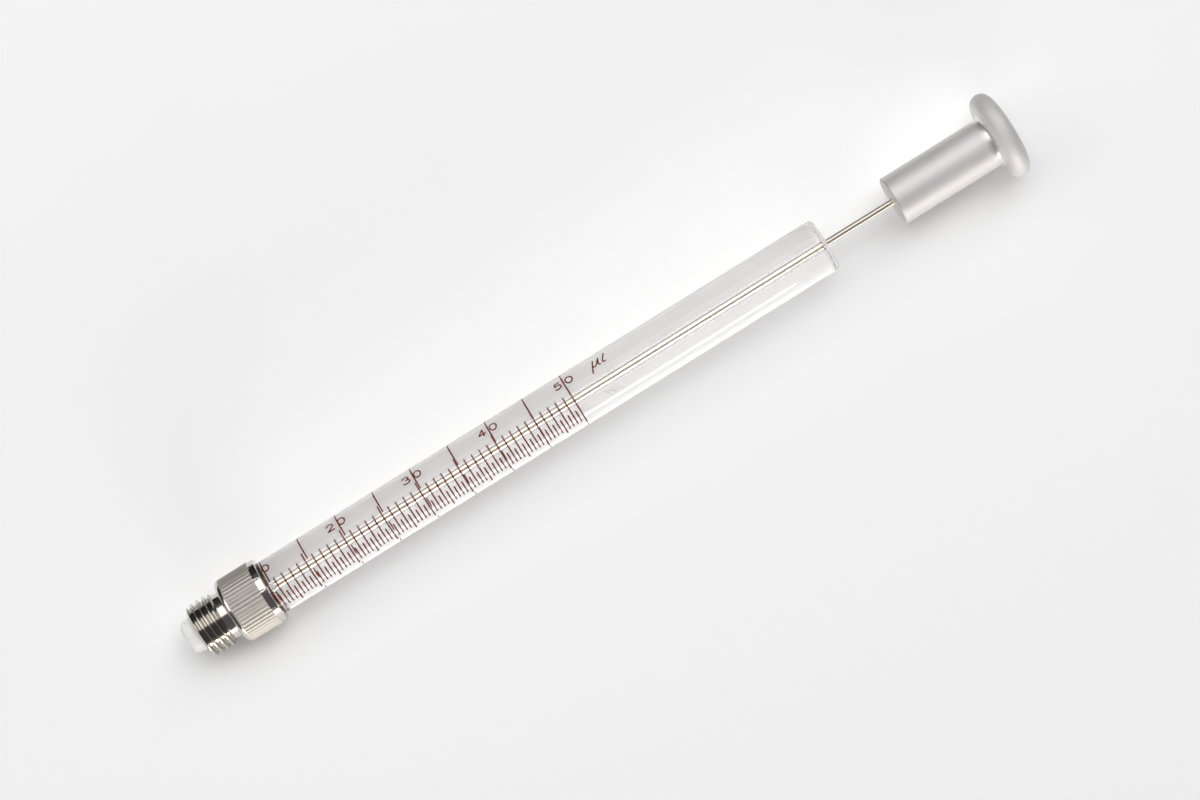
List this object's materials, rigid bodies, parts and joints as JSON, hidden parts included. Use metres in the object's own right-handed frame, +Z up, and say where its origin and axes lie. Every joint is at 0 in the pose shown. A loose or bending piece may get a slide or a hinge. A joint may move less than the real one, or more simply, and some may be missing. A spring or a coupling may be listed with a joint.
{
  "type": "gas syringe",
  "caption": "Gas-tight microlitre syringe with a thick glass barrel, enamel scale, knurled threaded front fitting, sliding rod plunger and round thumb button.",
  "frame": {"origin": "on the surface it lies on, below the middle of its bounding box", "axes": "+Z up, +X along the syringe from its threaded end to its thumb button, with the syringe's own axis raised 0.754 degrees towards the button as it lies at rest"},
  "size_m": [0.1308, 0.0126, 0.0127],
  "materials": {
    "clear_glass": "polished clear borosilicate",
    "scale_enamel": "fused brown enamel",
    "plated_brass": "bright nickel plate",
    "seal_ptfe": "milky white",
    "plunger_ptfe": "milky white",
    "rod_steel": "drawn and polished stainless",
    "satin_aluminium": "satin blasted, anodised"
  },
  "bodies": {
    "barrel": {"glass_barrel": "clear_glass", "scale_marks": "scale_enamel", "threaded_fitting": "plated_brass", "tip_seal": "seal_ptfe"},
    "plunger": {"plunger_tip": "plunger_ptfe", "plunger_rod": "rod_steel", "plunger_button": "satin_aluminium"}
  },
  "joints": [
    {"name": "plunger_slide", "type": "slide", "parent": "barrel", "child": "plunger", "axis": [0.9999, 0, 0.0132], "range_m": [0, 0.06]}
  ]
}
